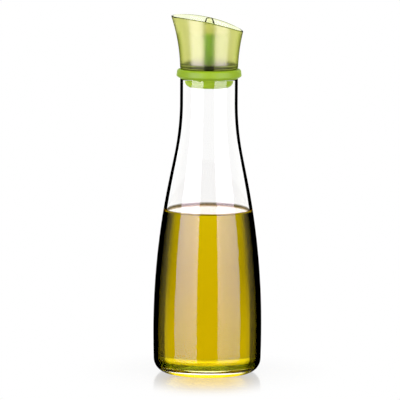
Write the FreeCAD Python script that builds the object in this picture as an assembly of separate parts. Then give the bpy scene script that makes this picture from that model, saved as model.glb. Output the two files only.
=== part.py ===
import FreeCAD, Part
import math
import os

# Oil cruet. A tall glass bottle stands on its base and is part filled with oil.
# A soft green stopper sits in its neck and carries a frosted pouring funnel with a
# slanted, curved rim. A green tube rises through the stopper and ends in a small nose.
# Millimetres. +Z is up, the origin is the middle of the base, and the high side of
# the funnel's rim points to -X. Every piece but the funnel's rim is round about Z.

# Bottle: outer sizes
bottle_height = 207.7
neck_radius = 20.2
neck_length = 16.5
body_radius = 38.05
widest_height = 31.0
side_straight_length = 16.0
shoulder_arc_radius = 189.0
lower_arc_radius = 680.0
base_corner_radius = 10.0
punt_radius = 24.0
punt_depth = 3.5

# Bottle: glass
neck_wall = 2.1
body_wall = 2.7
floor_thickness = 6.5
inner_corner_radius = 6.0
rim_round = 0.7

# Oil
oil_level = 115.0

# Stopper: a flange that lies on the glass rim, and a plug inside the neck
flange_thickness = 6.7
flange_overhang = 2.65
flange_shoulder = 1.8
flange_side_lean = 0.6
flange_top_round = 1.8
flange_side_round = 0.9
plug_depth = 6.3
plug_side_gap = 1.1
plug_round = 5.0
seal_lip_height = 1.0
seal_lip_gap = 0.05

# Pouring tube
tube_radius = 3.6
tube_bore_radius = 1.8
tube_rise = 24.3
tube_fit_gap = 0.05

# Funnel
funnel_set_back = 2.58
funnel_floor_thickness = 3.2
funnel_wall = 1.3
funnel_base_round = 1.6
funnel_inner_round = 1.0
funnel_lean_angle = 1.1
funnel_flare_radius = 122.3
funnel_height = 37.2
funnel_rim_radius = 133.0
funnel_rim_crest = 28.2

# Nose inside the funnel: a cap on the tube's end that narrows to a small mouth
nose_foot_radius = 5.8
nose_waist_radius = 4.3
nose_tip_radius = 2.2
nose_mouth_radius = 0.8
nose_channel_radius = 2.6
nose_grip = 2.2
nose_waist_rise = 6.0
nose_tip_rise = 11.6
nose_tip_wall = 1.0
nose_foot_round = 0.4
nose_waist_round = 1.5
nose_tip_round = 1.4

neck_inner_radius = neck_radius - neck_wall
flange_radius = neck_radius + flange_overhang
funnel_base_radius = flange_radius - funnel_set_back
stopper_bottom = bottle_height - plug_depth
stopper_top = bottle_height + flange_thickness
funnel_floor = stopper_top + funnel_floor_thickness
funnel_top = stopper_top + funnel_height
tube_top = stopper_top + tube_rise
tube_hole_radius = tube_radius + tube_fit_gap

Z_AXIS = FreeCAD.Vector(0, 0, 1)
Y_AXIS = FreeCAD.Vector(0, 1, 0)
ORIGIN = FreeCAD.Vector(0, 0, 0)


def point(radius, height):
    """A point of a half outline, in the plane that is turned about Z."""
    return FreeCAD.Vector(radius, 0, height)


def line(start, end):
    return Part.LineSegment(start, end).toShape()


def arc_about(centre, radius, start_angle, end_angle):
    """An arc in the outline's plane; angles in radians, from +X towards +Z."""
    def at(angle):
        return centre + point(radius * math.cos(angle), radius * math.sin(angle))
    middle_angle = (start_angle + end_angle) / 2
    return Part.Arc(at(start_angle), at(middle_angle), at(end_angle)).toShape()


def turned(edges):
    """The solid that a closed outline makes when it is turned once about Z."""
    face = Part.Face(Part.Wire(edges))
    return face.revolve(ORIGIN, Z_AXIS, 360)


def rounded_outline(corners):
    """A closed run of lines through corners of (radius, height, rounding)."""
    count = len(corners)
    entries = []
    exits = []
    for index, (radius, height, rounding) in enumerate(corners):
        here = point(radius, height)
        before = point(*corners[index - 1][:2]) - here
        after = point(*corners[(index + 1) % count][:2]) - here
        half_turn = before.getAngle(after) / 2
        reach = rounding / math.tan(half_turn) if rounding else 0
        entries.append(here + before.normalize() * reach)
        exits.append(here + after.normalize() * reach)
    edges = []
    for index, (radius, height, rounding) in enumerate(corners):
        if rounding:
            here = point(radius, height)
            inward = (entries[index] + exits[index]) / 2 - here
            centre_distance = math.hypot(rounding, (entries[index] - here).Length)
            middle = here + inward.normalize() * (centre_distance - rounding)
            edges.append(Part.Arc(entries[index], middle, exits[index]).toShape())
        follower = entries[(index + 1) % count]
        if (follower - exits[index]).Length > 1e-6:
            edges.append(line(exits[index], follower))
    return edges


def bottle_side(inset_at_neck, inset_at_body, corner_radius, floor_height):
    """The bottle's side from the rim to its floor, and the point where it ends.

    The neck widens through a hollow arc, a short straight and a full arc to the
    widest point. Below that a very flat arc leads to the rounded base corner.
    """
    neck = neck_radius - inset_at_neck
    body = body_radius - inset_at_body
    neck_foot = bottle_height - neck_length
    drop = neck_foot - widest_height
    angle = 2 * math.atan((body - neck) / (drop + side_straight_length))
    arcs_together = (drop - side_straight_length * math.cos(angle)) / math.sin(angle)
    body_arc_radius = arcs_together - shoulder_arc_radius
    shoulder_centre = point(neck + shoulder_arc_radius, neck_foot)
    body_centre = point(body - body_arc_radius, widest_height)

    flat_arc = lower_arc_radius - inset_at_body
    flat_centre = point(body - flat_arc, widest_height)
    corner_height = floor_height + corner_radius
    corner_reach = math.sqrt((flat_arc - corner_radius) ** 2 - (widest_height - corner_height) ** 2)
    corner_centre = point(flat_centre.x + corner_reach, corner_height)
    corner_angle = math.atan2(corner_height - widest_height, corner_reach)

    shoulder = arc_about(shoulder_centre, shoulder_arc_radius, math.pi, math.pi + angle)
    full_arc = arc_about(body_centre, body_arc_radius, angle, 0)
    lower_arc = arc_about(flat_centre, flat_arc, 0, corner_angle)
    corner = arc_about(corner_centre, corner_radius, corner_angle, -math.pi / 2)
    edges = [
        line(point(neck, bottle_height), point(neck, neck_foot)),
        shoulder,
        line(shoulder.Vertexes[-1].Point, full_arc.Vertexes[0].Point),
        full_arc,
        lower_arc,
        corner,
    ]
    return edges, point(corner_centre.x, floor_height)


def make_cavity():
    """The space inside the glass, from the floor to the rim."""
    edges, floor_edge = bottle_side(neck_wall, body_wall, inner_corner_radius, floor_thickness)
    floor_middle = point(0, floor_thickness)
    top_middle = point(0, bottle_height)
    edges.append(line(floor_edge, floor_middle))
    edges.append(line(floor_middle, top_middle))
    edges.append(line(top_middle, point(neck_inner_radius, bottle_height)))
    return turned(edges)


def make_bottle(cavity):
    """The glass: a full outer form with a hollow underside, less the cavity."""
    edges, base_edge = bottle_side(0, 0, base_corner_radius, 0)
    punt_edge = point(punt_radius, 0)
    punt_middle = point(0, punt_depth)
    punt_sphere_radius = (punt_radius ** 2 + punt_depth ** 2) / (2 * punt_depth)
    punt_centre = point(0, punt_depth - punt_sphere_radius)
    punt_angle = math.acos(punt_radius / punt_sphere_radius)
    top_middle = point(0, bottle_height)
    edges.append(line(base_edge, punt_edge))
    edges.append(arc_about(punt_centre, punt_sphere_radius, punt_angle, math.pi / 2))
    edges.append(line(punt_middle, top_middle))
    edges.append(line(top_middle, point(neck_radius, bottle_height)))
    glass = turned(edges).cut(cavity)
    rim_edges = [edge for edge in glass.Edges if edge.BoundBox.ZMin > bottle_height - 0.01]
    return glass.makeFillet(rim_round, rim_edges)


def make_oil(cavity):
    """The oil fills the cavity from its floor to the level."""
    below_level = Part.makeCylinder(2 * body_radius, oil_level)
    return cavity.common(below_level)


def make_stopper():
    """Flange, plug and sealing lip in one soft moulding, bored for the tube."""
    plug_radius = neck_inner_radius - plug_side_gap
    lip_radius = neck_inner_radius - seal_lip_gap
    lip_foot = bottle_height - seal_lip_height
    corners = [
        (tube_hole_radius, stopper_bottom, 0),
        (plug_radius, stopper_bottom, plug_round),
        (plug_radius, lip_foot, 0),
        (lip_radius, lip_foot + seal_lip_height / 2, 0),
        (lip_radius, bottle_height, 0),
        (neck_radius, bottle_height, 0),
        (flange_radius, bottle_height + flange_shoulder, flange_side_round),
        (flange_radius - flange_side_lean, stopper_top, flange_top_round),
        (tube_hole_radius, stopper_top, 0),
    ]
    return turned(rounded_outline(corners))


def make_tube():
    """A plain tube through the stopper and up into the nose."""
    length = tube_top - stopper_bottom
    start = FreeCAD.Vector(0, 0, stopper_bottom)
    outside = Part.makeCylinder(tube_radius, length, start)
    bore = Part.makeCylinder(tube_bore_radius, length, start)
    return outside.cut(bore)


def funnel_wall_arc(inset, foot_height, top_height):
    """The flared wall's outline, leaning out a little at its foot."""
    lean = math.radians(funnel_lean_angle)
    arc_radius = funnel_flare_radius + inset
    centre = point(
        funnel_base_radius + funnel_flare_radius * math.cos(lean),
        stopper_top - funnel_flare_radius * math.sin(lean),
    )
    foot_angle = math.pi - math.asin((foot_height - centre.z) / arc_radius)
    top_angle = math.pi - math.asin((top_height - centre.z) / arc_radius)
    return arc_about(centre, arc_radius, foot_angle, top_angle)


def quarter_bend(start, corner, end):
    """A quarter round from start to end, in place of the square corner."""
    radius = (start - corner).Length
    inward = ((start + end) / 2 - corner).normalize()
    middle = corner + inward * (radius * (math.sqrt(2) - 1))
    return Part.Arc(start, middle, end).toShape()


def make_funnel():
    """A thick floor and a thin flared wall, cut off by a slanting curved rim."""
    above_rim = funnel_top + funnel_wall
    outer_wall = funnel_wall_arc(0, stopper_top + funnel_base_round, above_rim)
    inner_wall = funnel_wall_arc(funnel_wall, above_rim, funnel_floor + funnel_inner_round)
    outer_foot = outer_wall.Vertexes[0].Point
    inner_foot = inner_wall.Vertexes[-1].Point
    outer_corner = point(outer_foot.x, stopper_top)
    inner_corner = point(inner_foot.x, funnel_floor)
    base_edge = point(outer_foot.x - funnel_base_round, stopper_top)
    floor_edge = point(inner_foot.x - funnel_inner_round, funnel_floor)
    hole_foot = point(tube_hole_radius, stopper_top)
    hole_top = point(tube_hole_radius, funnel_floor)
    edges = [
        line(hole_foot, base_edge),
        quarter_bend(base_edge, outer_corner, outer_foot),
        outer_wall,
        line(outer_wall.Vertexes[-1].Point, inner_wall.Vertexes[0].Point),
        inner_wall,
        quarter_bend(inner_foot, inner_corner, floor_edge),
        line(floor_edge, hole_top),
        line(hole_top, hole_foot),
    ]
    rim_axis = FreeCAD.Vector(-funnel_rim_crest, -2 * body_radius, funnel_top - funnel_rim_radius)
    under_rim = Part.makeCylinder(funnel_rim_radius, 4 * body_radius, rim_axis, Y_AXIS)
    return turned(edges).common(under_rim)


def make_nose():
    """A cap that grips the tube's end, rests on it and narrows to a mouth."""
    foot = tube_top - nose_grip
    waist = tube_top + nose_waist_rise
    tip = tube_top + nose_tip_rise
    corners = [
        (tube_hole_radius, foot, 0),
        (nose_foot_radius, foot, nose_foot_round),
        (nose_waist_radius, waist, nose_waist_round),
        (nose_tip_radius, tip, nose_tip_round),
        (nose_mouth_radius, tip, 0),
        (nose_mouth_radius, tip - nose_tip_wall, 0),
        (nose_channel_radius, waist - nose_tip_wall, 0),
        (nose_channel_radius, tube_top, 0),
        (tube_hole_radius, tube_top, 0),
    ]
    return turned(rounded_outline(corners))


def main():
    os.makedirs("parts", exist_ok=True)
    cavity = make_cavity()
    pieces = {
        "bottle": make_bottle(cavity),
        "oil": make_oil(cavity),
        "stopper": make_stopper(),
        "pour_tube": make_tube(),
        "funnel": make_funnel(),
        "nose": make_nose(),
    }
    for name, shape in pieces.items():
        shape.exportStep(os.path.join("parts", name + ".step"))
        box = shape.optimalBoundingBox()
        print(name, shape.isValid(), len(shape.Solids), "solid", round(shape.Volume, 1), "mm3",
              "z", round(box.ZMin, 2), "to", round(box.ZMax, 2))


main()
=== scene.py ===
import math

import bpy
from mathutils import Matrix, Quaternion, Vector


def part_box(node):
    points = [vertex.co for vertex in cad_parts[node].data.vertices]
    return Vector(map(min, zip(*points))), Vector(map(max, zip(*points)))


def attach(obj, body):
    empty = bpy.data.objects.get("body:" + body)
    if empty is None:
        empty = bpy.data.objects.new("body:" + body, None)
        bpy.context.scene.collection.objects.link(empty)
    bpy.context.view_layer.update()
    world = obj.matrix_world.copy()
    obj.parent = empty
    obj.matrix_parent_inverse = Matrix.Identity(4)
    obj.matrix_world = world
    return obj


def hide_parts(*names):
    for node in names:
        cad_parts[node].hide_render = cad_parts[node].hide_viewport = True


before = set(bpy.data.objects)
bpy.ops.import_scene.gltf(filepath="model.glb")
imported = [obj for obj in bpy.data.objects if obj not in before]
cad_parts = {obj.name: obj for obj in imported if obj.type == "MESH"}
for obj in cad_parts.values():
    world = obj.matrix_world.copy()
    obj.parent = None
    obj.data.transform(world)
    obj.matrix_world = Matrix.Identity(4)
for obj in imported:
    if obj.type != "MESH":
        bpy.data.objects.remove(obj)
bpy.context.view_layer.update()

# Oil cruet: a glass bottle part filled with oil, a soft green stopper with a pouring tube,
# and a frosted funnel with a small nose inside it. Metres, with the origin in the middle
# of the base, +Z up, and the high side of the funnel's rim towards -X.

MM = 0.001

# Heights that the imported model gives
glass_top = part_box("bottle")[1].z
stopper_foot, stopper_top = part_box("stopper")[0].z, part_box("stopper")[1].z
oil_floor, oil_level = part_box("oil")[0].z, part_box("oil")[1].z
tube_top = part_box("pour_tube")[1].z
funnel_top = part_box("funnel")[1].z

# Bottle
neck_radius = 20.2 * MM
neck_length = 16.5 * MM
body_radius = 38.05 * MM
widest_height = 31.0 * MM
side_straight_length = 16.0 * MM
shoulder_arc_radius = 189.0 * MM
lower_arc_radius = 680.0 * MM
base_corner_radius = 10.0 * MM
punt_radius = 24.0 * MM
punt_depth = 3.5 * MM
neck_wall = 2.1 * MM
body_wall = 2.7 * MM
inner_corner_radius = 6.0 * MM
rim_round = 0.7 * MM

# Oil: how far it reaches into the glass, how far it climbs the wall, how far above its level
# that shows as an edge, and how far below it the wall's own surface ends
oil_overlap = 0.08 * MM
meniscus_rise = 0.5 * MM
meniscus_reach = 1.4 * MM
meniscus_start = 0.02 * MM
wall_end = 0.1 * MM

# Stopper and tube
flange_overhang = 2.65 * MM
flange_shoulder = 1.8 * MM
flange_side_lean = 0.6 * MM
flange_top_round = 1.8 * MM
flange_side_round = 0.9 * MM
plug_side_gap = 1.1 * MM
plug_round = 5.0 * MM
seal_lip_height = 1.0 * MM
seal_lip_gap = 0.05 * MM
small_round = 0.15 * MM
tube_radius = 3.6 * MM
tube_bore_radius = 1.8 * MM
tube_hole_radius = 3.65 * MM
tube_edge_round = 0.3 * MM

# Funnel
funnel_set_back = 2.58 * MM
funnel_floor_thickness = 3.2 * MM
funnel_wall = 1.3 * MM
funnel_base_round = 1.6 * MM
funnel_inner_round = 1.0 * MM
funnel_lean_angle = math.radians(1.1)
funnel_flare_radius = 122.3 * MM
funnel_rim_radius = 133.0 * MM
funnel_rim_crest = 28.2 * MM
funnel_level_rise = 20.0 * MM

# Nose
nose_foot_radius = 5.8 * MM
nose_waist_radius = 4.3 * MM
nose_tip_radius = 2.2 * MM
nose_mouth_radius = 0.8 * MM
nose_channel_radius = 2.6 * MM
nose_grip = 2.2 * MM
nose_waist_rise = 6.0 * MM
nose_tip_rise = 11.6 * MM
nose_tip_wall = 1.0 * MM
nose_bore_round = 0.1 * MM
nose_foot_round = 0.4 * MM
nose_waist_round = 1.5 * MM
nose_tip_round = 1.4 * MM
nose_mouth_round = 0.2 * MM
nose_skin = 0.3 * MM

# Sizes that follow from those above
neck_inner_radius = neck_radius - neck_wall
neck_foot = glass_top - neck_length
inner_corner_top = oil_floor + inner_corner_radius
flange_radius = neck_radius + flange_overhang
funnel_base_radius = flange_radius - funnel_set_back
funnel_floor = stopper_top + funnel_floor_thickness
funnel_outer_foot = stopper_top + funnel_base_round
funnel_inner_foot = funnel_floor + funnel_inner_round
flare_centre_radius = funnel_base_radius + funnel_flare_radius * math.cos(funnel_lean_angle)
flare_centre_height = stopper_top - funnel_flare_radius * math.sin(funnel_lean_angle)
nose_tip = tube_top + nose_tip_rise

# Steps in which curves are drawn
round_steps = 192
side_arc_steps = 40
lower_arc_steps = 8
base_arc_steps = 24
bend_steps = 10
oil_surface_steps = 12
funnel_wall_steps = 24
funnel_edge_steps = 12
funnel_inner_steps = 8
rim_passes = 6
merge_distance = 0.001 * MM

# How strongly each clear material bends light
glass_index = 1.5
oil_index = 1.47
funnel_index = 1.2
nose_index = 1.06

white = (1, 1, 1)
quarter_turn = math.pi / 2


class Socket:
    """A value in a node tree, for writing node maths as plain expressions."""

    def __init__(self, tree, socket):
        self.tree = tree
        self.socket = socket

    def math(self, operation, other=None):
        return node(self.tree, "ShaderNodeMath", {"operation": operation}, [self, other])

    def after(self, operation, first):
        """The same, with this value as the second of the two."""
        return node(self.tree, "ShaderNodeMath", {"operation": operation}, [first, self])

    def __add__(self, other):
        return self.math("ADD", other)

    def __radd__(self, other):
        return self.after("ADD", other)

    def __sub__(self, other):
        return self.math("SUBTRACT", other)

    def __rsub__(self, other):
        return self.after("SUBTRACT", other)

    def __mul__(self, other):
        return self.math("MULTIPLY", other)

    def __rmul__(self, other):
        return self.after("MULTIPLY", other)

    def __truediv__(self, other):
        return self.math("DIVIDE", other)

    def __rtruediv__(self, other):
        return self.after("DIVIDE", other)

    def root(self):
        return self.math("SQRT")

    def above(self, limit):
        return self.math("GREATER_THAN", limit)

    def at_least(self, other):
        return self.math("MAXIMUM", other)

    def step(self, start, end):
        """0 before start, 1 after end, smooth between."""
        settings = {"interpolation_type": "SMOOTHSTEP"}
        values = {"Value": self, "From Min": start, "From Max": end}
        return node(self.tree, "ShaderNodeMapRange", settings, values)

    def band(self, start, full, fade, end):
        """1 from full to fade, and 0 before start and after end, smooth between."""
        return self.step(start, full) * (1 - self.step(fade, end))


def add_node(tree, kind, settings, inputs):
    """A node of that kind: its settings first, then the values or links of its sockets."""
    made = tree.nodes.new(kind)
    for name, value in settings.items():
        if name == "stops":
            set_stops(made.color_ramp, value)
        else:
            setattr(made, name, value)
    pairs = inputs.items() if isinstance(inputs, dict) else enumerate(inputs)
    for name, value in pairs:
        if isinstance(value, Socket):
            tree.links.new(value.socket, made.inputs[name])
        elif value is not None:
            made.inputs[name].default_value = value
    return made


def set_stops(ramp, stops):
    """A colour ramp's stops, as (place, colour)."""
    while len(ramp.elements) < len(stops):
        ramp.elements.new(1)
    for element, (place, colour) in zip(ramp.elements, stops):
        element.position = place
        element.color = (*colour, 1)


def node(tree, kind, settings=None, inputs=(), output=0):
    """The same, for a node of which one output is used."""
    made = add_node(tree, kind, settings or {}, inputs)
    return Socket(tree, made.outputs[output])


def split_point(tree, point):
    """The three parts of a point or direction."""
    made = add_node(tree, "ShaderNodeSeparateXYZ", {}, [point])
    return [Socket(tree, output) for output in made.outputs]


# Outlines: lists of (radius, height)

def arc(centre, radius, start, end, steps):
    """Points along an arc; angles in radians, from outwards towards up."""
    points = []
    for index in range(steps + 1):
        angle = start + (end - start) * index / steps
        points.append((centre[0] + radius * math.cos(angle), centre[1] + radius * math.sin(angle)))
    return points


def run(start, end, spacing=2.0 * MM, edge=0.06 * MM):
    """Points inside a straight run, with one close to each end to keep the shading flat.

    A run that ends on the axis has none close to that end.
    """
    length = math.dist(start, end)
    if length < 4 * edge:
        return []
    count = max(1, round(length / spacing))
    places = [edge / length] + [index / count for index in range(1, count)]
    if end[0] > 0:
        places.append(1 - edge / length)
    return [tuple(a + (b - a) * place for a, b in zip(start, end)) for place in places]


def outline(corners, closed):
    """An outline through corners of (radius, height, rounding), with its bends rounded."""
    count = len(corners)
    bends = []
    for index, (radius, height, rounding) in enumerate(corners):
        here = Vector((radius, height))
        if not rounding:
            bends.append([tuple(here)])
            continue
        before = Vector(corners[index - 1][:2]) - here
        after = Vector(corners[(index + 1) % count][:2]) - here
        before.normalize()
        after.normalize()
        half = before.angle(after) / 2
        centre = here + (before + after).normalized() * (rounding / math.sin(half))
        entry = here + before * (rounding / math.tan(half)) - centre
        leave = here + after * (rounding / math.tan(half)) - centre
        start = math.atan2(entry.y, entry.x)
        turn = math.atan2(entry.x * leave.y - entry.y * leave.x, entry.dot(leave))
        bends.append(arc(centre, rounding, start, start + turn, bend_steps))
    points = []
    for index, bend in enumerate(bends):
        points += bend
        if closed or index < count - 1:
            points += run(bend[-1], bends[(index + 1) % count][0])
    return points


def bottle_side(inset_at_neck, inset_at_body, corner_radius, floor_height):
    """The bottle's side below the neck's straight part, down to its floor.

    The neck widens through a hollow arc, a short straight and a full arc to the
    widest point. Below that a very flat arc leads to the rounded base corner.
    """
    neck = neck_radius - inset_at_neck
    body = body_radius - inset_at_body
    drop = neck_foot - widest_height
    angle = 2 * math.atan((body - neck) / (drop + side_straight_length))
    arcs_together = (drop - side_straight_length * math.cos(angle)) / math.sin(angle)
    full_radius = arcs_together - shoulder_arc_radius
    flat_radius = lower_arc_radius - inset_at_body
    flat_centre = (body - flat_radius, widest_height)
    corner_height = floor_height + corner_radius
    corner_drop = widest_height - corner_height
    corner_reach = math.sqrt((flat_radius - corner_radius) ** 2 - corner_drop ** 2)
    corner_centre = (flat_centre[0] + corner_reach, corner_height)
    corner_angle = -math.atan2(corner_drop, corner_reach)

    shoulder_centre = (neck + shoulder_arc_radius, neck_foot)
    full_centre = (body - full_radius, widest_height)
    shoulder = arc(shoulder_centre, shoulder_arc_radius, math.pi, math.pi + angle, side_arc_steps)
    full_arc = arc(full_centre, full_radius, angle, 0, side_arc_steps)
    lower_arc = arc(flat_centre, flat_radius, 0, corner_angle, lower_arc_steps)
    corner = arc(corner_centre, corner_radius, corner_angle, -quarter_turn, base_arc_steps)
    straight = run(shoulder[-1], full_arc[0])
    return shoulder + straight + full_arc + lower_arc[1:] + corner[1:]


def cavity_side():
    """The inside of the glass, from below the neck's straight part to the floor."""
    return bottle_side(neck_wall, body_wall, inner_corner_radius, oil_floor)


def bottle_outline():
    """The glass from the hollow under the base, up the outside, and down the inside.

    With it come how many of its points are outside, and how many lie under the base.
    """
    punt_sphere = (punt_radius ** 2 + punt_depth ** 2) / (2 * punt_depth)
    punt_angle = math.acos(punt_radius / punt_sphere)
    punt_centre = (0, punt_depth - punt_sphere)
    punt = arc(punt_centre, punt_sphere, quarter_turn, punt_angle, base_arc_steps)
    outer = bottle_side(0, 0, base_corner_radius, 0)[::-1]
    inner = cavity_side()
    rim = outline([
        (neck_radius, neck_foot, 0),
        (neck_radius, glass_top, rim_round),
        (neck_inner_radius, glass_top, rim_round),
        (neck_inner_radius, neck_foot, 0),
    ], closed=False)
    floor = run(inner[-1], (0, oil_floor)) + [(0, oil_floor)]
    under = punt + run(punt[-1], outer[0])
    outside = under + outer
    return outside + rim[1:-1] + inner + floor, len(outside) + len(rim) // 2, len(under)


def oil_outline():
    """The oil from the middle of its floor, up the side, and over the raised edge.

    It reaches a little into the glass, and half as far at the floor.
    """
    side = [point for point in cavity_side() if point[1] < oil_level]
    flat_radius = side[0][0] - meniscus_reach
    surface = [(0, oil_level)]
    for index in range(1, oil_surface_steps + 1):
        surface.append((flat_radius * index / oil_surface_steps, oil_level))
    for index in range(1, oil_surface_steps + 1):
        climb = index / oil_surface_steps
        radius = flat_radius + (meniscus_reach + oil_overlap) * climb
        surface.append((radius, oil_level + meniscus_rise * climb ** 3))
    wall = []
    corner = []
    for radius, height in side:
        if height > inner_corner_top:
            wall.append((radius + oil_overlap, height))
        else:
            corner.append((radius + oil_overlap / 2, height - oil_overlap / 2))
    middle = (0, corner[-1][1])
    floor = run(corner[-1], middle) + [middle]
    return (surface + wall + corner + floor)[::-1]


def stopper_outline():
    """Flange, plug and sealing lip in one soft moulding, bored for the tube."""
    plug_radius = neck_inner_radius - plug_side_gap
    lip_radius = neck_inner_radius - seal_lip_gap
    lip_foot = glass_top - seal_lip_height
    return outline([
        (tube_hole_radius, stopper_foot, small_round),
        (plug_radius, stopper_foot, plug_round),
        (plug_radius, lip_foot, 0),
        (lip_radius, lip_foot + seal_lip_height / 2, 0),
        (lip_radius, glass_top, 0),
        (neck_radius, glass_top, 0),
        (flange_radius, glass_top + flange_shoulder, flange_side_round),
        (flange_radius - flange_side_lean, stopper_top, flange_top_round),
        (tube_hole_radius, stopper_top, small_round),
    ], closed=True)


def tube_outline():
    """A plain tube with softened ends."""
    return outline([
        (tube_bore_radius, stopper_foot, tube_edge_round),
        (tube_radius, stopper_foot, tube_edge_round),
        (tube_radius, tube_top, tube_edge_round),
        (tube_bore_radius, tube_top, tube_edge_round),
    ], closed=True)


def nose_outline():
    """A cap on the tube's end that narrows to a small mouth."""
    foot = tube_top - nose_grip
    waist = tube_top + nose_waist_rise
    return outline([
        (tube_hole_radius, foot, nose_bore_round),
        (nose_foot_radius, foot, nose_foot_round),
        (nose_waist_radius, waist, nose_waist_round),
        (nose_tip_radius, nose_tip, nose_tip_round),
        (nose_mouth_radius, nose_tip, nose_mouth_round),
        (nose_mouth_radius, nose_tip - nose_tip_wall, 0),
        (nose_channel_radius, waist - nose_tip_wall, 0),
        (nose_channel_radius, tube_top, 0),
        (tube_hole_radius, tube_top, 0),
    ], closed=True)


def nose_channel(height):
    """The radius of the nose's channel at a height."""
    waist = tube_top + nose_waist_rise - nose_tip_wall
    tip = nose_tip - nose_tip_wall
    climb = min(max((height - waist) / (tip - waist), 0), 1)
    return nose_channel_radius + (nose_mouth_radius - nose_channel_radius) * climb


def flare_radius(inset, height):
    """The funnel wall's radius at a height, that far in from its outside."""
    arc_radius = funnel_flare_radius + inset
    return flare_centre_radius - math.sqrt(arc_radius ** 2 - (height - flare_centre_height) ** 2)


def funnel_outline():
    """The funnel with a level rim. Its wall is later drawn out or in to the real rim.

    A point's radius and height are followed by: 1 if it is on the wall; how far up the wall
    it lies, from 0 to 1; how deep it lies in from the outside; how far under the rim's edge
    it ends; and 1 if it is on the rim's round.
    """
    half_wall = funnel_wall / 2
    level_rim = stopper_top + funnel_level_rise
    rows = []

    def fixed(points):
        for radius, height in points:
            rows.append((radius, height, 0, 0, 0, 0, 0))

    def wall(inset, foot, places):
        for place in places:
            height = foot + (level_rim - foot) * place
            rows.append((flare_radius(inset, height), height, 1, place, inset, half_wall, 0))

    climb = [index / funnel_wall_steps for index in range(funnel_wall_steps + 1)]
    base_corner = (flare_radius(0, funnel_outer_foot) - funnel_base_round, funnel_outer_foot)
    floor_corner = (flare_radius(funnel_wall, funnel_inner_foot) - funnel_inner_round, funnel_inner_foot)
    hole_foot = (tube_hole_radius, stopper_top)
    hole_top = (tube_hole_radius, funnel_floor)
    fixed([hole_foot])
    fixed(run(hole_foot, (base_corner[0], stopper_top)))
    fixed(arc(base_corner, funnel_base_round, -quarter_turn, 0, funnel_edge_steps)[:-1])
    wall(0, funnel_outer_foot, climb)
    for index in range(1, funnel_edge_steps):
        angle = math.pi * index / funnel_edge_steps
        inset = half_wall * (1 - math.cos(angle))
        lowered = half_wall * (1 - math.sin(angle))
        rows.append((flare_radius(inset, level_rim), level_rim, 1, 1, inset, lowered, 1))
    wall(funnel_wall, funnel_inner_foot, climb[::-1])
    fixed(arc(floor_corner, funnel_inner_round, 0, -quarter_turn, funnel_inner_steps)[1:])
    fixed(run((floor_corner[0], funnel_floor), hole_top))
    fixed([hole_top])
    fixed(run(hole_top, hole_foot))
    return rows


# Geometry Nodes

def draw_wall_to_rim(tree, turned):
    """Moves the funnel's wall points to the slanting curved rim, along the flare.

    The rim's height hangs on how far out the wall is there, and the other way round, so it
    is worked out in a few passes.
    """
    def named(name):
        settings = {"data_type": "FLOAT"}
        return node(tree, "GeometryNodeInputNamedAttribute", settings, {"Name": name})

    x, y, z = split_point(tree, node(tree, "GeometryNodeInputPosition"))
    radius = (x * x + y * y).root()
    cosine = x / radius
    arc_radius = named("inset") + funnel_flare_radius

    def wall_radius(height):
        rise = height - flare_centre_height
        return flare_centre_radius - (arc_radius * arc_radius - rise * rise).root()

    rim = z
    for _ in range(rim_passes):
        along = wall_radius(rim) * cosine + funnel_rim_crest
        rim = funnel_top - (funnel_rim_radius - (funnel_rim_radius ** 2 - along * along).root())
    foot = node(tree, "ShaderNodeMix", {"data_type": "FLOAT"},
                {"Factor": named("inset") / funnel_wall, "A": funnel_outer_foot, "B": funnel_inner_foot})
    height = foot + (rim - named("lowered") - foot) * named("climb")
    reach = wall_radius(height)
    place = node(tree, "ShaderNodeCombineXYZ", {}, [reach * cosine, reach * (y / radius), height])
    return node(tree, "GeometryNodeSetPosition", {},
                {"Geometry": turned, "Selection": named("wall").above(0.5), "Position": place})


def lathe_tree(name, finish_shape):
    """A tree that turns an outline once about Z and gives it its material."""
    tree = bpy.data.node_groups.new(name + "_turning", "GeometryNodeTree")
    face = tree.interface
    face.new_socket("Outline", in_out="INPUT", socket_type="NodeSocketGeometry")
    steps = face.new_socket("Steps", in_out="INPUT", socket_type="NodeSocketInt")
    reach = face.new_socket("Reach", in_out="INPUT", socket_type="NodeSocketFloat")
    material = face.new_socket("Material", in_out="INPUT", socket_type="NodeSocketMaterial")
    face.new_socket("Piece", in_out="OUTPUT", socket_type="NodeSocketGeometry")
    group = add_node(tree, "NodeGroupInput", {}, [])
    given = {output.name: Socket(tree, output) for output in group.outputs if output.name}

    path = node(tree, "GeometryNodeCurvePrimitiveCircle", {},
                {"Resolution": given["Steps"], "Radius": given["Reach"]})
    shift = node(tree, "ShaderNodeCombineXYZ", {}, [0 - given["Reach"]])
    curve = node(tree, "GeometryNodeMeshToCurve", {}, {"Mesh": given["Outline"]})
    placed = node(tree, "GeometryNodeTransform", {},
                  {"Geometry": curve, "Translation": shift, "Scale": (1, -1, 1)})
    turned = node(tree, "GeometryNodeCurveToMesh", {}, {"Curve": path, "Profile Curve": placed})
    if finish_shape:
        turned = finish_shape(tree, turned)
    joined = node(tree, "GeometryNodeMergeByDistance", {}, {"Geometry": turned, "Distance": merge_distance})
    outward = node(tree, "GeometryNodeFlipFaces", {}, {"Mesh": joined})
    smooth = node(tree, "GeometryNodeSetShadeSmooth", {}, {"Geometry": outward})
    real = node(tree, "GeometryNodeRealizeInstances", {}, {"Geometry": smooth})
    finished = node(tree, "GeometryNodeSetMaterial", {}, {"Geometry": real, "Material": given["Material"]})
    add_node(tree, "NodeGroupOutput", {}, [finished])
    return tree, {"steps": steps.identifier, "reach": reach.identifier, "material": material.identifier}


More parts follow.
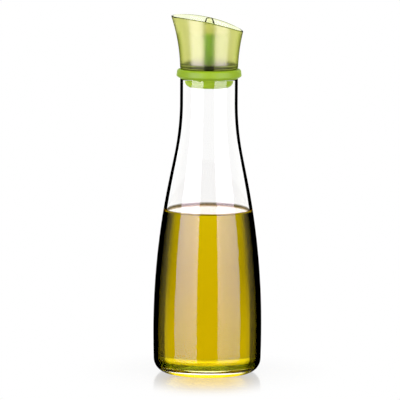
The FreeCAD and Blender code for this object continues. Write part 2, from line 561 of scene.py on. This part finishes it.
def turned_piece(name, points, closed, material, attributes=None, finish_shape=None):
    """A piece turned from an outline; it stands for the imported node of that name."""
    count = len(points)
    mesh = bpy.data.meshes.new(name + "_outline")
    edges = [(index, (index + 1) % count) for index in range(count if closed else count - 1)]
    mesh.from_pydata([(radius, height, 0) for radius, height in points], edges, [])
    for attribute_name, values in (attributes or {}).items():
        data = mesh.attributes.new(attribute_name, "FLOAT", "POINT")
        data.data.foreach_set("value", values)
    piece = bpy.data.objects.new(name + "_piece", mesh)
    bpy.context.scene.collection.objects.link(piece)
    tree, sockets = lathe_tree(name, finish_shape)
    modifier = piece.modifiers.new("turning", "NODES")
    modifier.node_group = tree
    modifier[sockets["steps"]] = round_steps
    modifier[sockets["reach"]] = 2 * body_radius
    modifier[sockets["material"]] = material
    depsgraph = bpy.context.evaluated_depsgraph_get()
    shaped = bpy.data.meshes.new_from_object(
        piece.evaluated_get(depsgraph), preserve_all_data_layers=True, depsgraph=depsgraph)
    piece.modifiers.remove(modifier)
    piece.data = shaped
    shaped.name = name + "_piece"
    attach(piece, "root")
    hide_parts(name)


# Parts of materials

def new_material(name):
    """A material with an empty tree, and that tree."""
    material = bpy.data.materials.new(name)
    material.use_nodes = True
    tree = material.node_tree
    tree.nodes.clear()
    return material, tree


def finish_material(tree, surface, volume=None):
    add_node(tree, "ShaderNodeOutputMaterial", {}, {"Surface": surface, "Volume": volume})


def object_point(tree):
    return node(tree, "ShaderNodeTexCoord", {}, (), "Object")


def height_on(tree):
    return split_point(tree, object_point(tree))[2]


def attribute(tree, name):
    return node(tree, "ShaderNodeAttribute", {"attribute_name": name}, (), "Fac")


def from_behind(tree):
    """1 where light meets a face from the inside of its solid, else 0."""
    return node(tree, "ShaderNodeNewGeometry", {}, (), "Backfacing")


def turned_away(tree, normal=None):
    """0 where the face, or the direction given for it, points at the eye, to 1 across it."""
    return node(tree, "ShaderNodeLayerWeight", {}, {"Blend": 0.5, "Normal": normal}, "Facing")


def grey_ramp(tree, value, stops):
    """A number that follows value through stops of (place, number)."""
    settings = {"stops": [(place, (number, number, number)) for place, number in stops]}
    return node(tree, "ShaderNodeValToRGB", settings, [value])


def mix(tree, share, first, second):
    """The first surface where share is 0, the second where it is 1."""
    return node(tree, "ShaderNodeMixShader", {}, [share, first, second])


def refraction(tree, index, colour=white, roughness=0.0):
    """A surface that only lets light through, and loses what meets it too flatly."""
    values = {"Color": (*colour, 1), "Roughness": roughness, "IOR": index}
    return node(tree, "ShaderNodeBsdfRefraction", {}, values)


def full_glass(tree, index, colour=white, roughness=0.0):
    """A surface that lets light through and mirrors the rest."""
    values = {"Color": (*colour, 1), "Roughness": roughness, "IOR": index}
    return node(tree, "ShaderNodeBsdfGlass", {}, values)


def glossy(tree, colour=white, roughness=0.0):
    return node(tree, "ShaderNodeBsdfGlossy", {}, {"Color": (*colour, 1), "Roughness": roughness})


def diffuse(tree, colour):
    return node(tree, "ShaderNodeBsdfDiffuse", {}, {"Color": (*colour, 1)})


def emission(tree, colour):
    return node(tree, "ShaderNodeEmission", {}, {"Color": (*colour, 1), "Strength": 1.0})


# Bottle: painted shade on its sides beside the oil, as (how far they turn away, darkness), at
# its foot and, from higher up, along its body
foot_band = [
    (0.02, 0.0), (0.12, 0.15), (0.29, 0.20), (0.37, 0.35), (0.40, 0.86), (0.54, 0.9), (0.60, 1.0),
]
body_band = [
    (0.02, 0.0), (0.05, 0.15), (0.13, 0.26), (0.22, 0.38), (0.29, 0.47),
    (0.37, 0.74), (0.42, 0.9), (0.54, 0.97), (0.58, 1.0),
]
band_change = (20 * MM, 85 * MM)
level_blend = 0.4 * MM
least_level_share = 0.15

# Its other dark or tinted places: painted shade along the oil's brink and at the base corner,
# a yellow and a green tint low down, and a dark brown band on the inside just above the
# level. For each, the heights between which it comes and goes, and its share. Those of the
# brink and of the brown band count from the oil's level.
brink_heights = (-0.6 * MM, -0.2 * MM, 0.1 * MM, 0.5 * MM)
brink_share = 0.7
shade_heights = (10 * MM, 15 * MM)
shade_turn = (0.22, 0.42)
shade_share = 0.85
yellow_heights = (5.0 * MM, 6.5 * MM, 13.5 * MM, 16.5 * MM)
green_heights = (5.4 * MM, 6.8 * MM, 9.4 * MM, 10.6 * MM)
tint_share = 0.95
upper_band_heights = (0.0, 0.4 * MM, 0.8 * MM, 2.0 * MM)
upper_band_share = 0.85

# Its gloss: the strength where it faces the eye, how far it may turn before that goes, and
# how it comes in above the base corner, grows up the side and is stronger above the oil. Its
# growth up the side is a painted fall-off of the lamps' reflection.
gloss_share = 0.02
gloss_turn = (0.35, 0.6)
gloss_start = (10 * MM, 14.5 * MM)
gloss_growth = (-50 * MM, 140 * MM)
gloss_at_foot = 0.3
gloss_gain = 0.8
bare_heights = (0.5 * MM, 3 * MM)
bare_gain = 0.9

# Colours of the bottle and the oil
glass_yellow = (0.96, 1, 0.11)
glass_green = (0.16, 0.25, 0.12)
upper_band_brown = (0.22, 0.17, 0.09)
warm_gloss = (1, 0.95, 0.62)
meniscus_painted_shade = (0.12, 0.09, 0.02)
meniscus_share = 0.7
oil_colour = (0.951, 0.910, 0.0)
oil_density = 130.0

# Stopper and tube
stopper_green = (0.36, 0.55, 0.018)
# The tube's green is paler than the stopper's: painted light, where the tube stands shaded inside the funnel
tube_painted_light_green = (0.42, 0.80, 0.015)

# Funnel: colours, with their roughness where it has one
frosted_side = ((0.38, 0.41, 0.05), 0.55)
frosted_painted_light = ((0.63, 0.60, 0.29), 0.4)
frosted_painted_shade = ((0.10, 0.12, 0.015), 0.2)
rim_line = ((0.30, 0.32, 0.06), 0.2)
smooth_inside = ((0.98, 1.0, 0.85), 0.02)
funnel_gloss = ((1, 1, 0.5), 0.28)
funnel_body = (0.42, 0.45, 0.10)
funnel_bottom = (0.20, 0.24, 0.03)

# Its paler flanks and top, its deep foot and edge, and the shares of its body and gloss. The
# paler flanks are painted highlight bands, the paler top is painted light, and the deep foot
# and edge are painted shade.
foot_heights = (-0.3 * MM, 1.2 * MM)
foot_share = 0.9
top_heights = (-1 * MM, 4 * MM)
top_share = 0.75
flank_turn = (0.12, 0.3, 0.4, 0.7)
flank_share = 0.8
edge_turn = (0.65, 1.0)
edge_share = 0.3
bottom_share = 0.7
funnel_body_share = 0.03
funnel_gloss_share = 0.068
foot_gloss_loss = 0.06
top_gloss_loss = 0.016

# Nose
nose_clear = ((0.99, 0.99, 0.9), 0.05)
nose_painted_shade = ((0.10, 0.11, 0.01), 0.1)
nose_body = (0.62, 0.62, 0.12)
nose_body_share = 0.02
nose_outline_turn = (0.22, 0.42)
nose_outline_heights = (-5 * MM, -3.5 * MM)

# Floor: how far from the axis its shadow, gloss and painted warm light reach, and their shares
floor_white = (0.9, 0.9, 0.9)
shadow_reach = (35 * MM, 100 * MM)
shadow_share = 0.08
polish_reach = (34 * MM, 98 * MM)
polish_share = 0.31
polish_roughness = 0.12
glow_colour = (0.84, 0.60, 0.20)
glow_reach = (30 * MM, 113 * MM)
glow_sides = (8 * MM, 42 * MM)
glow_front = (-40 * MM, 0.0)
glow_share = 0.75


# Materials

def side_turn(tree):
    """How far the bottle's side turns away from the eye, whatever the eye's height."""
    level = node(tree, "ShaderNodeVectorMath", {"operation": "MULTIPLY"}, [object_point(tree), (1, 1, 0)])
    outward = node(tree, "ShaderNodeVectorMath", {"operation": "NORMALIZE"}, [level])
    upward = node(tree, "ShaderNodeCombineXYZ", {}, [0, 0, 1])
    steep = 1 - turned_away(tree, upward)
    level_share = (1 - steep * steep).root().at_least(least_level_share)
    return 1 - (1 - turned_away(tree, outward)) / level_share


def painted_glass_shade(tree, height, filled):
    """Painted shade on the glass's outside: its sides beside oil, the oil's brink, the base corner."""
    turned = side_turn(tree)
    foot = grey_ramp(tree, turned, foot_band)
    body = grey_ramp(tree, turned, body_band)
    sides = (foot + (body - foot) * height.step(*band_change)) * filled
    # Painted shade: a dark line along the oil's brink
    brink = (height - oil_level).band(*brink_heights)
    # Painted shade at the base corner, where the side turns away
    shade = turned.step(*shade_turn) * (1 - height.step(*shade_heights))
    darkest = sides.at_least(brink * brink_share).at_least(shade * shade_share)
    return darkest * (1 - attribute(tree, "under"))


def tinted_glass(tree, height, filled):
    """The glass's outside before its gloss: yellow low down, green at the corner, painted shade on the
    sides.
    """
    clear = refraction(tree, glass_index)
    yellow = refraction(tree, glass_index, glass_yellow)
    green = refraction(tree, glass_index, glass_green)
    amber = mix(tree, height.band(*yellow_heights) * tint_share, clear, yellow)
    tinted = mix(tree, height.band(*green_heights) * tint_share, amber, green)
    # Painted shade: black mixed in on the sides, at the oil's brink and at the base corner
    return mix(tree, painted_glass_shade(tree, height, filled), tinted, diffuse(tree, (0, 0, 0)))


def glass_material():
    """Clear glass.

    Its walls only let light through. What meets them too flatly is lost, which draws the
    dark edges of the empty part. Beside the oil the dark bands are painted shade on the
    outside. Just above the level the inside is drawn dark brown. Gloss is weak, and warmer
    above the oil.
    """
    material, tree = new_material("clear_glass")
    height = height_on(tree)
    above_oil = height - oil_level
    backfacing = from_behind(tree)
    filled = 1 - above_oil.step(-level_blend, level_blend)
    clear = full_glass(tree, glass_index)
    mirror = mix(tree, filled, glossy(tree, warm_gloss), glossy(tree))

    sheen = (1 - turned_away(tree).step(*gloss_turn)) * gloss_share
    # Painted fall-off: the lamps' reflection grows weaker lower down the side
    growth = height.step(*gloss_growth) * gloss_gain
    bare = above_oil.step(*bare_heights) * bare_gain
    shine = sheen * (gloss_at_foot + growth + bare) * height.step(*gloss_start)
    outer = mix(tree, shine, tinted_glass(tree, height, filled), mirror)
    outside = mix(tree, backfacing, outer, clear)

    front = 1 - backfacing
    # A dark brown band on the inside, just above the oil's level
    upper_band = above_oil.band(*upper_band_heights) * front * upper_band_share
    banded_inside = mix(tree, upper_band, refraction(tree, glass_index), refraction(tree, glass_index, upper_band_brown))
    coated = mix(tree, sheen * front, banded_inside, mirror)
    walls = mix(tree, attribute(tree, "inside"), outside, coated)
    finish_material(tree, mix(tree, attribute(tree, "floor"), walls, clear))
    return material


def oil_material():
    """Oil that takes out blue and some green with depth, with painted shade in brown along the raised edge
    at its surface.
    """
    material, tree = new_material("oil")
    side = refraction(tree, oil_index)
    flat = full_glass(tree, oil_index)
    edge = attribute(tree, "meniscus") * meniscus_share
    # Painted shade: the oil's raised edge is drawn brown
    edged = mix(tree, edge, flat, diffuse(tree, meniscus_painted_shade))
    surface = mix(tree, attribute(tree, "wall"), edged, side)
    depth = node(tree, "ShaderNodeVolumeAbsorption", {}, {"Color": (*oil_colour, 1), "Density": oil_density})
    finish_material(tree, surface, depth)
    return material


def silicone_material(name, colour):
    """Soft satin green, with a fine tooth."""
    material, tree = new_material(name)
    tooth = node(tree, "ShaderNodeTexNoise", {},
                 {"Vector": object_point(tree), "Scale": 2500.0, "Detail": 2.0})
    bump = node(tree, "ShaderNodeBump", {}, {"Strength": 0.05, "Distance": 0.2 * MM, "Height": tooth})
    surface = node(tree, "ShaderNodeBsdfPrincipled", {}, {
        "Base Color": (*colour, 1), "Roughness": 0.42, "IOR": 1.45,
        "Specular IOR Level": 0.12, "Normal": bump})
    finish_material(tree, surface)
    return material


def funnel_material():
    """Tinted, lightly frosted plastic, with a darker line along the rim's edge.

    Its outside is frosted and takes out most light. On it, painted highlight bands make it
    paler towards the sides, painted light makes it paler above the tube, and painted shade
    makes it darker at the foot and at the very edge. Its inside is smooth and pale, over a
    floor that is mostly solid green.
    """
    material, tree = new_material("frosted_green")
    height = height_on(tree)
    facing = turned_away(tree)
    above_floor = height - funnel_floor
    outer = 1 - attribute(tree, "inset").above(funnel_wall / 2)
    outside = outer * (1 - from_behind(tree))
    foot = 1 - above_floor.step(*foot_heights)
    top = (height - tube_top).step(*top_heights)
    # Painted highlight bands on the flanks, and painted light above the tube
    pale = (facing.band(*flank_turn) * flank_share).at_least(top * top_share)
    # Painted shade at the very edge and at the foot
    edge = (facing.step(*edge_turn) * edge_share).at_least(foot * foot_share)
    # Gloss is weaker at the painted-shade foot and above the tube
    gloss = funnel_gloss_share - foot * foot_gloss_loss - top * top_gloss_loss
    on_floor = (1 - attribute(tree, "wall")) * above_floor.above(-0.1 * MM)

    frosted = refraction(tree, funnel_index, *frosted_side)
    lit = mix(tree, pale, frosted, refraction(tree, funnel_index, *frosted_painted_light))
    edged = mix(tree, edge, lit, refraction(tree, funnel_index, *frosted_painted_shade))
    solid = mix(tree, funnel_body_share, edged, diffuse(tree, funnel_body))
    shiny = mix(tree, gloss, solid, glossy(tree, *funnel_gloss))
    walls = mix(tree, outside, full_glass(tree, funnel_index, *smooth_inside), shiny)
    on_rim = attribute(tree, "rim") * outer
    rimmed = mix(tree, on_rim, walls, refraction(tree, funnel_index, *rim_line))
    finish_material(tree, mix(tree, on_floor * bottom_share, rimmed, diffuse(tree, funnel_bottom)))
    return material


def nose_material():
    """Clear yellow plastic, whose tip is outlined in painted shade where its outside turns away."""
    material, tree = new_material("frosted_nose")
    upper = (height_on(tree) - nose_tip).step(*nose_outline_heights)
    # Painted shade outlining the tip where its outside turns away
    outlined = turned_away(tree).step(*nose_outline_turn) * upper * attribute(tree, "outer")
    clear = refraction(tree, nose_index, *nose_clear)
    edged = mix(tree, outlined, clear, refraction(tree, nose_index, *nose_painted_shade))
    finish_material(tree, mix(tree, nose_body_share, edged, diffuse(tree, nose_body)))
    return material


def floor_material():
    """A white floor.

    Around the base it keeps the cruet's shadow and a short gloss, and in front of it lies
    a painted pool of the warm light that the oil lets through.
    """
    material, tree = new_material("floor")
    path = add_node(tree, "ShaderNodeLightPath", {}, [])
    seen = Socket(tree, path.outputs["Is Camera Ray"])
    through = Socket(tree, path.outputs["Is Transmission Ray"])
    direct = seen + through - seen * through
    point = object_point(tree)
    distance = node(tree, "ShaderNodeVectorMath", {"operation": "LENGTH"}, [point], "Value")
    x, y, _ = split_point(tree, point)
    shadow = 1 - distance.step(*shadow_reach)
    polish = 1 - distance.step(*polish_reach)
    ahead = (1 - x.math("ABSOLUTE").step(*glow_sides)) * (1 - y.step(*glow_front))
    # Painted pool of warm light in front of the base
    glow = (1 - distance.step(*glow_reach)) * ahead

    matte = diffuse(tree, floor_white)
    warmed = mix(tree, glow * glow_share, emission(tree, white), emission(tree, glow_colour))
    polished = mix(tree, polish * polish_share, warmed, glossy(tree, white, polish_roughness))
    shaded = mix(tree, shadow * shadow_share, polished, matte)
    finish_material(tree, mix(tree, direct, matte, shaded))
    return material


# Room

# Lamps stand this many degrees to each side of the front, and this far from the axis. A
# tall one draws a stripe in the gloss on its side, and a square one lights dull surfaces.
lamp_azimuth = 48
lamp_distance = 1.5
stripe_height = -0.1
stripe_size = (1.46, 2.6)
stripe_colour = (0.56, 0.49, 0.97)
left_stripe_radiance = 15.0
right_stripe_radiance = 12.7
fill_height = 0.6
fill_size = (1.2, 1.2)
fill_radiance = 1.0

# World: how bright it is in reflections in front, and as light in front and behind, with the
# directions between which each changes from front to back
mirrored_front = 0.04
mirrored_change = (-0.1, 0.4)
light_in_front = 1.05
light_behind = 0.25
light_change = (-0.6, 0.6)

floor_radius = 6.0

# Camera
camera_place = (0, -2.8, 0.469)
camera_aim = Vector((-5.75 * MM, 0, 121.85 * MM))
camera_roll = math.radians(0.38)
camera_lens = 361.5
camera_sensor = 36.0
camera_range = 50.0

# How often light may bend or bounce on its way through glass and oil
light_path_length = 24
mirror_path_length = 12


def make_floor():
    bpy.ops.mesh.primitive_circle_add(vertices=64, radius=floor_radius, fill_type="NGON")
    floor = bpy.context.object
    floor.name = "floor"
    floor.data.materials.append(floor_material())
    floor.visible_glossy = False
    floor.visible_shadow = False


def light_world():
    """White where it is seen or looked at through the glass.

    In reflections it is white behind the cruet and nearly dark in front. As light on dull
    surfaces it is brightest from the front.
    """
    world = bpy.data.worlds.new("room")
    bpy.context.scene.world = world
    world.use_nodes = True
    tree = world.node_tree
    tree.nodes.clear()
    path = add_node(tree, "ShaderNodeLightPath", {}, [])
    rays = ("Is Camera Ray", "Is Glossy Ray", "Is Transmission Ray")
    seen, mirrored, through = (Socket(tree, path.outputs[name]) for name in rays)
    backward = split_point(tree, node(tree, "ShaderNodeTexCoord", {}, (), "Generated"))[1]
    direct = (seen + through).above(0.5)
    plain = (1 - direct) * (1 - mirrored)
    in_mirror = mirrored_front + backward.step(*mirrored_change) * (1 - mirrored_front)
    as_light = light_in_front - backward.step(*light_change) * (light_in_front - light_behind)
    strength = direct + mirrored * in_mirror + plain * as_light
    background = node(tree, "ShaderNodeBackground", {}, {"Color": (*white, 1), "Strength": strength})
    add_node(tree, "ShaderNodeOutputWorld", {}, {"Surface": background})


def add_softbox(name, azimuth, height, size, radiance, glossy_only):
    """A soft lamp that faces the axis; azimuth 0 is in front, 90 on the right.

    It lights either gloss alone or dull surfaces alone.
    """
    lamp = bpy.data.lights.new(name, "AREA")
    lamp.shape = "RECTANGLE"
    lamp.size, lamp.size_y = size
    lamp.energy = radiance * math.pi * size[0] * size[1]
    softbox = bpy.data.objects.new(name, lamp)
    bpy.context.scene.collection.objects.link(softbox)
    angle = math.radians(azimuth)
    place = Vector((math.sin(angle), -math.cos(angle), 0)) * lamp_distance
    softbox.rotation_euler = (-place).to_track_quat("-Z", "Y").to_euler()
    softbox.location = place + Vector((0, 0, height))
    softbox.visible_camera = False
    softbox.visible_transmission = False
    softbox.visible_glossy = glossy_only
    softbox.visible_diffuse = not glossy_only
    return lamp


def light_cruet():
    sides = ((-1, "left", left_stripe_radiance), (1, "right", right_stripe_radiance))
    for side, name, radiance in sides:
        azimuth = side * lamp_azimuth
        stripe = add_softbox("stripe_" + name, azimuth, stripe_height, stripe_size, radiance, True)
        stripe.color = stripe_colour
        add_softbox("fill_" + name, azimuth, fill_height, fill_size, fill_radiance, False)


def add_camera():
    """A long lens, a little above the cruet, that looks down at its front."""
    data = bpy.data.cameras.new("camera")
    data.lens = camera_lens
    data.sensor_width = camera_sensor
    data.clip_end = camera_range
    camera = bpy.data.objects.new("camera", data)
    bpy.context.scene.collection.objects.link(camera)
    camera.location = camera_place
    turn = (camera_aim - camera.location).to_track_quat("-Z", "Y")
    camera.rotation_euler = (turn @ Quaternion((0, 0, 1), camera_roll)).to_euler()
    bpy.context.scene.camera = camera


def set_look():
    """Plain view colours, and light paths long enough for glass around oil."""
    scene = bpy.context.scene
    scene.view_settings.view_transform = "Standard"
    scene.cycles.max_bounces = light_path_length
    scene.cycles.transmission_bounces = light_path_length
    scene.cycles.glossy_bounces = mirror_path_length


# Pieces

def flags(tests):
    """1 for each test that holds and 0 for the others, for an attribute."""
    return [1.0 if test else 0.0 for test in tests]


def make_bottle():
    points, outside_count, under_count = bottle_outline()
    places = range(len(points))
    attributes = {
        "inside": flags(index >= outside_count for index in places),
        "floor": flags(index >= outside_count and points[index][1] < inner_corner_top for index in places),
        "under": flags(index < under_count for index in places),
    }
    turned_piece("bottle", points, False, glass_material(), attributes)


def make_oil():
    points = oil_outline()
    attributes = {
        "meniscus": flags(height > oil_level + meniscus_start for _, height in points),
        "wall": flags(inner_corner_top < height < oil_level - wall_end for _, height in points),
    }
    turned_piece("oil", points, False, oil_material(), attributes)


def make_stopper():
    green = silicone_material("soft_green", stopper_green)
    turned_piece("stopper", stopper_outline(), True, green)


def make_tube():
    green = silicone_material("tube_painted_light_green", tube_painted_light_green)
    turned_piece("pour_tube", tube_outline(), True, green)


def make_funnel():
    rows = funnel_outline()
    points = [row[:2] for row in rows]
    names = ("wall", "climb", "inset", "lowered", "rim")
    attributes = {name: [float(row[index]) for row in rows] for index, name in enumerate(names, 2)}
    turned_piece("funnel", points, True, funnel_material(), attributes, draw_wall_to_rim)


def make_nose():
    """What lies further out from its channel than a thin skin is its outside."""
    points = nose_outline()
    outer = flags(radius > nose_channel(height) + nose_skin for radius, height in points)
    turned_piece("nose", points, True, nose_material(), {"outer": outer})


set_look()
light_world()
light_cruet()
add_camera()
make_floor()
make_bottle()
make_oil()
make_stopper()
make_tube()
make_funnel()
make_nose()
